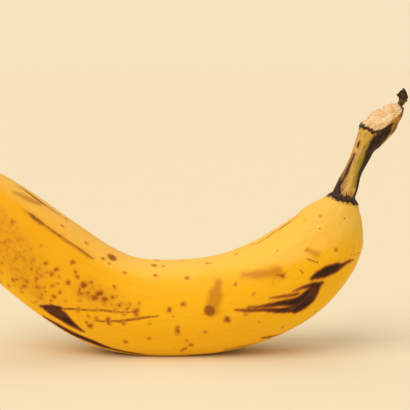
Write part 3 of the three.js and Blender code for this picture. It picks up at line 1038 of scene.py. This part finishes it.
# %% Dead tissue: dried hard and dark, with a dusty bloom along the wrinkles
dead_tissue, dead_shader = new_finish("banana_stub_dried_black", ior=1.5, specular=0.3)
dead_patterns = grow_patterns(dead_tissue, {
    "lumps": (2.2, 1.6, 3),
    "wrinkles": (3.0, 0.35, 3),
    "dust": (0.5, 0.4, 2),
})
dead_masks = grow_masks(dead_tissue, dead_patterns, {
    "foot": ("length", "lumps", 2.0, STUB_START - 6, STUB_START - 5),
    "knob": ("length", "lumps", 2.0, STUB_START + 2.6, STUB_START + 3.8),
    "brown": ("lumps", "dust", 0.3, 0.62, 0.85),
    "bloom": ("wrinkles", "dust", 0.4, 0.76, 0.98),
})
dead_colour = lay_over(dead_tissue, dead_masks, "#2A1B12", [
    ("foot", 1, "#6E5428"),
    ("knob", 1, "#20150F"),
    ("brown", 1, "#5A3A1E"),
    ("bloom", 0.6, "#8A6C48"),
])
finish_surface(
    dead_tissue,
    dead_shader,
    dead_colour,
    dullness=0.62,
    rough_parts=[(dead_patterns["dust"], 0.2)],
    height_parts=[(dead_patterns["wrinkles"], 0.2), (dead_patterns["dust"], 0.06)],
)

# %% The stub, brown at its foot and darkest at the knob on top
stub_points, stub_straight, _ = wrinkled_piece(
    STUB_START - 1.0, TOP, 44, 56, proud=-0.35, lump_size=2.0, lump_height=1.1, seed=41
)
grow_tube("stub", stub_points, dead_tissue, {"straight": stub_straight})

# %% The blossom end: its five lobes stand out most at the very end, where it has shrunk most
LOBE_HEIGHT, LOBE_RISE, WITHERING = 0.3, 0.5, 2.0
tip_points, tip_straight, tip_angle = wrinkled_piece(
    0.0, TIP_LENGTH + 1.4, 48, 84, proud=0.15, lump_size=3.0, lump_height=0.45, seed=53
)
towards_end = 1 - np.linspace(0, 1, len(tip_points))[:, None]
lobes = (LOBE_HEIGHT + LOBE_RISE * towards_end) * np.cos(np.radians(tip_angle * 5))
withered = lobes - WITHERING * towards_end ** 1.5
tip_points = tip_points + outward(tip_points) * withered[..., None]
grow_tube("blossom_end", tip_points, dead_tissue, {"straight": tip_straight})

# %% [markdown]
# ## Loose fibres
# The tear leaves single fibres standing out of it, which blur the crown's outline. Blender's hair
# would draw them, but hair isn't mesh and can't travel with the part, so each fibre is a thin
# tapered tube that curves up and out of the torn face.

# %% One fibre: rings of four corners, thinning towards its free end
FIBRES = 260
FIBRE_SIDES, FIBRE_RINGS = 4, 6
THINNED_BY = 0.8  # how much of its girth a fibre has lost at its free end
ROOTED = 0.15  # how deep its root sits in the torn face


def fibre_tube(root, out, ahead, length, girth, curl):
    """The points of a fibre that sets off ahead from its root and curls."""
    side = np.cross(ahead, out)
    side /= np.linalg.norm(side) + TINY
    lift = np.cross(side, ahead)
    points = []
    for step in range(FIBRE_RINGS):
        share = step / (FIBRE_RINGS - 1)
        middle = root - out * ROOTED + ahead * length * share + lift * curl * length * share**2
        reach = girth * (1 - THINNED_BY * share)
        for corner in range(FIBRE_SIDES):
            turned = 2 * math.pi * corner / FIBRE_SIDES
            points.append(middle + (side * math.cos(turned) + lift * math.sin(turned)) * reach)
    return points


# %% Its faces, and the square of the UV map that they unroll into
CELLS_PER_SIDE = math.ceil(math.sqrt(FIBRES))
CELL_MARGIN = 0.1


def fibre_skin(fibre):
    """The faces of the fibre with this number, and the UV place of each face's corners."""
    cell_u, cell_v = fibre % CELLS_PER_SIDE, fibre // CELLS_PER_SIDE
    faces, unrolled = [], []

    def within_cell(share):
        return CELL_MARGIN + (1 - 2 * CELL_MARGIN) * share

    for step in range(FIBRE_RINGS - 1):
        ring = (fibre * FIBRE_RINGS + step) * FIBRE_SIDES
        low_v, high_v = (within_cell((step + i) / (FIBRE_RINGS - 1)) for i in (0, 1))
        for corner in range(FIBRE_SIDES):
            here, beside = ring + corner, ring + (corner + 1) % FIBRE_SIDES
            faces.append((here, beside, beside + FIBRE_SIDES, here + FIBRE_SIDES))
            low_u, high_u = (within_cell((corner + i) / FIBRE_SIDES) for i in (0, 1))
            for u, v in ((low_u, low_v), (high_u, low_v), (high_u, high_v), (low_u, high_v)):
                unrolled.append(((cell_u + u) / CELLS_PER_SIDE, (cell_v + v) / CELLS_PER_SIDE))
    return faces, unrolled


# %% All fibres: each from a place on the torn face, along the stalk and a little outwards
fibre_dice = np.random.default_rng(11)
torn_places = np.argwhere((past_rim > 0.6) & (stalk_height < CROWN_LENGTH + STALK_LENGTH - 3))
stalk_outward = outward(stalk_points)
along_spine = np.gradient(stalk_points, axis=0)
along_spine /= np.linalg.norm(along_spine, axis=2, keepdims=True) + TINY
fibre_points, fibre_faces, fibre_uvs = [], [], []
for fibre in range(FIBRES):
    ring, k = torn_places[fibre_dice.integers(len(torn_places))]
    out = stalk_outward[ring, k]
    ahead = along_spine[ring, k] + out * fibre_dice.uniform(0.1, 0.5) + fibre_dice.normal(0, 0.18, 3)
    ahead /= np.linalg.norm(ahead)
    length, girth = fibre_dice.uniform(0.8, 2.6), fibre_dice.uniform(0.05, 0.1)
    curl = fibre_dice.normal(0, 0.35)
    fibre_points += fibre_tube(stalk_points[ring, k], out, ahead, length, girth, curl)
    faces, unrolled = fibre_skin(fibre)
    fibre_faces += faces
    fibre_uvs += unrolled
print(FIBRES, "fibres on", len(torn_places), "torn places")

# %% Their finish: bleached straw, each fibre a little different
straw, straw_shader = new_finish("banana_fibre_torn_dry", ior=1.5, specular=0.25)
straw_patterns = grow_patterns(straw, {"tone": (2.0, 1.2, 2), "grain": (0.6, 0.2, 2)})
straw_masks = grow_masks(straw, straw_patterns, {
    "dark": ("tone", "grain", 0.2, 0.62, 0.42),
    "light": ("tone", "grain", 0.2, 0.60, 0.80),
})
straw_colour = lay_over(straw, straw_masks, "#E6BE86", [("dark", 1, "#C08A54"), ("light", 1, "#F4DDB6")])
finish_surface(
    straw,
    straw_shader,
    straw_colour,
    dullness=0.65,
    rough_parts=[(straw_patterns["grain"], 0.2)],
    height_parts=[(straw_patterns["grain"], 0.03)],
)

# %% Make the fibres one piece
fibre_marks = {"straight": fibre_points}
new_piece("crown_fibres", fibre_points, fibre_faces, fibre_uvs, straw, fibre_marks, smooth=False)

# %% [markdown]
# ## The setting
# A part is judged on a plain pale floor in soft studio light. A large soft lamp stands high on the
# left, in front, so the upper faces glow and a faint shadow falls to the right. A weaker one stands
# overhead, a little behind, and a pale sky fills the shadows. A long lens, well back, keeps the
# fruit's proportions true.

# %% Floor
FLOOR_REACH = 40.0  # metres each way, so its edge is lost in the distance
floor_mesh = bpy.data.meshes.new("floor")
corners = [(-FLOOR_REACH, -FLOOR_REACH, 0), (FLOOR_REACH, -FLOOR_REACH, 0)]
corners += [(FLOOR_REACH, FLOOR_REACH, 0), (-FLOOR_REACH, FLOOR_REACH, 0)]
floor_mesh.from_pydata(corners, [], [(0, 1, 2, 3)])
floor = bpy.data.objects.new("floor", floor_mesh)
bpy.context.scene.collection.objects.link(floor)
card, card_shader = new_finish("studio_card_matt_cream", ior=1.45, specular=0.1)
card_shader.inputs["Base Color"].default_value = linear("#EADFC6")
card_shader.inputs["Roughness"].default_value = 1.0
floor_mesh.materials.append(card)
print("floor", 2 * FLOOR_REACH, "m wide")

# %% Sky: dimmer as a lamp than as a backdrop, so the lit floor runs into it without a dark edge
sky = bpy.data.worlds.new("soft_studio_sky")
sky.use_nodes = True
fill = sky.node_tree.nodes["Background"]
fill.inputs["Color"].default_value = linear("#F8EEDA")
fill.inputs["Strength"].default_value = 0.6
backdrop = add(sky, "ShaderNodeBackground", {"Color": linear("#F5E3BE"), "Strength": 1.0})
seen = add(sky, "ShaderNodeLightPath").outputs["Is Camera Ray"]
chosen = add(sky, "ShaderNodeMixShader", {0: seen, 1: fill.outputs[0], 2: backdrop.outputs[0]})
sky.node_tree.links.new(chosen.outputs[0], sky.node_tree.nodes["World Output"].inputs["Surface"])
bpy.context.scene.world = sky
bpy.context.scene.view_settings.view_transform = "Standard"
print("sky", sky.name)


# %% Lamps: broad far-off ones, so the floor is lit evenly. Bearing 0 is in front, heights in degrees
def soft_lamp(name, bearing, height, spread, strength, colour):
    lamp = bpy.data.lights.new(name, "SUN")
    lamp.angle = math.radians(spread)
    lamp.energy = strength
    lamp.color = linear(colour)[:3]
    turn, rise = math.radians(bearing), math.radians(height)
    back = Vector((math.sin(turn) * math.cos(rise), -math.cos(turn) * math.cos(rise), math.sin(rise)))
    placed = bpy.data.objects.new(name, lamp)
    placed.rotation_euler = back.to_track_quat("Z", "Y").to_euler()
    bpy.context.scene.collection.objects.link(placed)
    print(name, "strength", strength, "spread", spread, "degrees")


soft_lamp("key_lamp", bearing=-42, height=50, spread=50, strength=1.62, colour="#FFF7E8")
soft_lamp("top_lamp", bearing=170, height=75, spread=60, strength=0.55, colour="#FFFAF0")

# %% Camera: level with the front, a little above the fruit
LENS = 100
SENSOR = 36
SEEN_WIDTH = 164 * MM  # how much of the fruit's own plane the picture spans
ELEVATION = math.radians(7)
AIM = Vector((15.4 * MM, 0, 59.6 * MM))

camera = bpy.data.objects.new("camera", bpy.data.cameras.new("camera"))
camera.data.lens = LENS
camera.data.sensor_width = SENSOR
toward = Vector((0, -math.cos(ELEVATION), math.sin(ELEVATION)))
camera.location = AIM + toward * (SEEN_WIDTH * LENS / SENSOR)
camera.rotation_euler = toward.to_track_quat("Z", "Y").to_euler()
bpy.context.scene.collection.objects.link(camera)
bpy.context.scene.camera = camera
print("camera", round(camera.location.length, 2), "m away")
